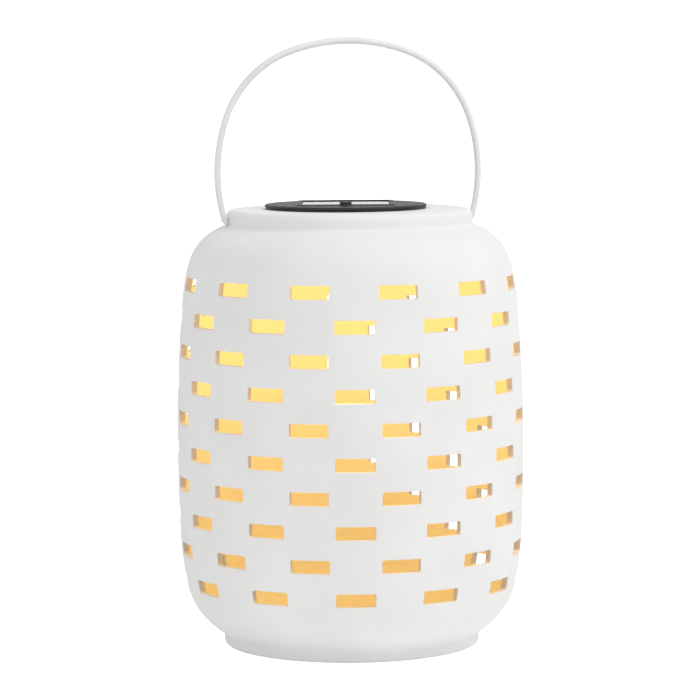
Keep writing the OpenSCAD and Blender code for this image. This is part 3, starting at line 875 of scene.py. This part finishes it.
def build_sensor_boss():
    edge, depth = 0.5, 0.9           # rounding of the boss's top, and how deep its window lies
    outline = [(3.5, COVER_HI - 0.1), (3.05, COVER_HI + 0.08), (2.9, COVER_HI + 0.35),
               (BOSS_R, SENSOR_HI - 0.55)]
    outline += arc((BOSS_R - edge, SENSOR_HI - edge), edge, 0, 90, 6)
    outline += [(2.05, SENSOR_HI), (WINDOW_R + 0.03, SENSOR_HI - 0.1), (WINDOW_R, SENSOR_HI - depth),
                (0, SENSOR_HI - depth)]
    ob = lathe("sensor_boss", outline, MAT["black_plastic"], 48)
    sharpen(ob, 50)
    ob.data.transform(Matrix.Translation((0, SENSOR_Y * MM, 0)))
    place_in_light(ob)
    finish_piece(ob, "light", "black_plastic")


def build_cell_grid():
    """Silver collector lines along the cell strips, and the fine fingers across them."""
    bus_half, finger_half, finger_step = 0.45, 0.06, 1.4
    verts, faces = [], []

    def bar(x, y, half_w, half_l, low, high):
        first = len(verts)
        for z in (CELL_TOP + low, CELL_TOP + high):
            for sx, sy in ((-1, -1), (1, -1), (1, 1), (-1, 1)):
                verts.append(((x + sx * half_w) * MM, (y + sy * half_l) * MM, z * MM))
        quads = [(4, 5, 6, 7), (3, 2, 1, 0)] + [(k, (k + 1) % 4, (k + 1) % 4 + 4, k + 4) for k in range(4)]
        faces.extend(tuple(first + i for i in quad) for quad in quads)

    for k in (-1.5, -0.5, 0.5, 1.5):
        x = k * (STRIP_W + STRIP_GAP)
        bar(x, 0, bus_half, STRIP_L / 2 - 0.3, 0.004, 0.024)
        y = -STRIP_L / 2 + 1.0
        while y < STRIP_L / 2 - 0.5:
            bar(x, y, STRIP_W / 2 - 0.3, finger_half, 0.002, 0.012)
            y += finger_step
    ob = add_object("cell_grid", verts, faces, MAT["nickel"], smooth=False)
    place_in_light(ob)
    finish_piece(ob, "light", "nickel")


def build_dome():
    r, z = DOME_R, DOME_Z
    outline = [(0, z - r)] + arc((0, z), r, -90, 0, 22)[1:]
    # the lip that holds the dome in the can's floor
    outline += [(r, z + 0.8), (r + 0.5, z + 0.9), (r + 0.6, z + 1.2), (r + 0.5, z + 1.5),
                (r - DOME_T, z + 1.5), (r - DOME_T, z)]
    outline += arc((0, z), r - DOME_T, 0, -90, 18)[1:-1] + [(0, z - r + DOME_T)]
    ob = lathe("diffuser_dome", outline, MAT["lit_diffuser"], 64)
    ob.data.transform(Matrix.Translation((0, DOME_Y * MM, 0)))
    place_in_light(ob)
    finish_piece(ob, "light", "lit_diffuser", "led_dome")


# ------------------------------------------------------------------ the carried-over pieces
def dress_cad():
    """Gives each CAD node that still shows its slot's material, and breaks the moulded edges."""
    slots = {part["node"]: part["material_slot"] for part in frame["record"]["subparts"]}
    replaced = {"ceramic_jar", "wire_bail", "lid_cover", "led_dome"}
    bevels = {"light_housing": 0.25, "battery_door": 0.25, "switch_slider": 0.12, "switch_body": 0.12,
              "circuit_board": 0.08, "driver_chip": 0.1, "door_screw": 0.12, "housing_screws": 0.12}
    for name, ob in NODES.items():
        if name in replaced:
            continue
        ob.data.materials.clear()
        ob.data.materials.append(MAT[slots[name]])
        for polygon in ob.data.polygons:
            polygon.material_index = 0
        if name in bevels:
            weld = ob.modifiers.new("weld", "WELD")
            weld.merge_threshold = 1e-6
            edge = ob.modifiers.new("edge", "BEVEL")
            edge.width = bevels[name] * MM
            edge.segments = 2
            edge.limit_method = "ANGLE"
            edge.angle_limit = math.radians(40)
            edge.harden_normals = False


# ------------------------------------------------------------------ camera, light and floor
def add_camera():
    cam = bpy.data.objects.new("camera", bpy.data.cameras.new("camera"))
    scene.collection.objects.link(cam)
    cam.data.sensor_width = CAMERA_SENSOR
    cam.data.lens = CAMERA_LENS
    cam.data.clip_start, cam.data.clip_end = 0.05, 60
    turn, tilt, roll = (math.radians(a) for a in (CAMERA_TURN, CAMERA_TILT, CAMERA_ROLL))
    place = Vector((math.sin(turn) * CAMERA_DIST, -math.cos(turn) * CAMERA_DIST, CAMERA_HEIGHT))
    cam.matrix_world = (Matrix.Translation(place) @ Matrix.Rotation(turn, 4, "Z")
                        @ Matrix.Rotation(math.pi / 2 - tilt, 4, "X") @ Matrix.Rotation(roll, 4, "Z"))
    scene.camera = cam


def add_floor():
    """A pale sheet with a faint mottle, lit up for the camera so that it reads as studio white."""
    mat, nt, bsdf = new_material("studio_floor")
    tone = noise(nt, coords(nt), 6, 3)
    nt.links.new(ramp(nt, tone, [(0.3, grey(0.94)), (0.7, grey(0.96))]), bsdf.inputs["Base Color"])
    bsdf.inputs["Roughness"].default_value = 0.9
    bsdf.inputs["Specular IOR Level"].default_value = 0.1
    bsdf.inputs["Emission Color"].default_value = (1, 1, 1, 1)
    seen = nt.nodes.new("ShaderNodeLightPath").outputs["Is Camera Ray"]
    nt.links.new(spread(nt, seen, FLOOR_LIFT, FLOOR_GLOW, 0, 1), bsdf.inputs["Emission Strength"])
    s = FLOOR_HALF
    corners = [(-s, -s, 0), (s, -s, 0), (s, s, 0), (-s, s, 0)]
    add_object("studio_floor", corners, [(0, 1, 2, 3)], mat, False)


def add_world():
    """An even white room, a little brighter to gloss and to the camera than it shines."""
    world = bpy.data.worlds.new("studio")
    scene.world = world
    world.use_nodes = True
    nt = world.node_tree
    background = nt.nodes["Background"]
    background.inputs["Color"].default_value = (1, 1, 1, 1)
    rays = nt.nodes.new("ShaderNodeLightPath")
    brightest = nt.nodes.new("ShaderNodeMath")
    brightest.operation = "MAXIMUM"
    shine = spread(nt, rays.outputs["Is Glossy Ray"], WORLD_LIGHT, WORLD_SHINE, 0, 1)
    nt.links.new(shine, brightest.inputs[0])
    nt.links.new(spread(nt, rays.outputs["Is Camera Ray"], 0.0, WORLD_SEEN, 0, 1), brightest.inputs[1])
    nt.links.new(brightest.outputs[0], background.inputs["Strength"])


def add_area_light(name, azimuth, elevation, power):
    data = bpy.data.lights.new(name, "AREA")
    data.shape = "DISK"
    data.size = LIGHT_SIZE
    data.energy = power
    ob = bpy.data.objects.new(name, data)
    a, e = math.radians(azimuth), math.radians(elevation)
    aim = Vector((0, 0, LIGHT_AIM))
    arm = Vector((math.sin(a) * math.cos(e), -math.cos(a) * math.cos(e), math.sin(e))) * LIGHT_DIST
    ob.location = aim + arm
    ob.rotation_euler = (-arm).to_track_quat("-Z", "Y").to_euler()
    ob.visible_camera = False
    scene.collection.objects.link(ob)


def add_glow():
    """The lantern's own light, under the dome."""
    data = bpy.data.lights.new("warm_glow", "POINT")
    data.energy = GLOW_POWER
    data.color = GLOW_COLOUR
    data.shadow_soft_size = GLOW_R
    ob = bpy.data.objects.new("warm_glow", data)
    ob.location = (-LID_SHIFT * MM, GLOW_Y, GLOW_Z)
    ob.visible_camera = False
    scene.collection.objects.link(ob)
    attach(ob, "light")


def build_stage():
    add_camera()
    add_floor()
    add_world()
    scene.view_settings.view_transform = "Standard"
    scene.view_settings.look = "None"
    scene.view_settings.exposure = 0.0
    scene.view_settings.gamma = 1.0
    add_area_light("key_right", 60, 50, KEY_POWER)
    add_area_light("key_front", -10, 55, FRONT_POWER)
    add_glow()


build_stage()
build_jar()
build_bail()
build_lid_disc()
build_panel_frame()
build_sensor_boss()
build_cell_grid()
build_dome()
dress_cad()
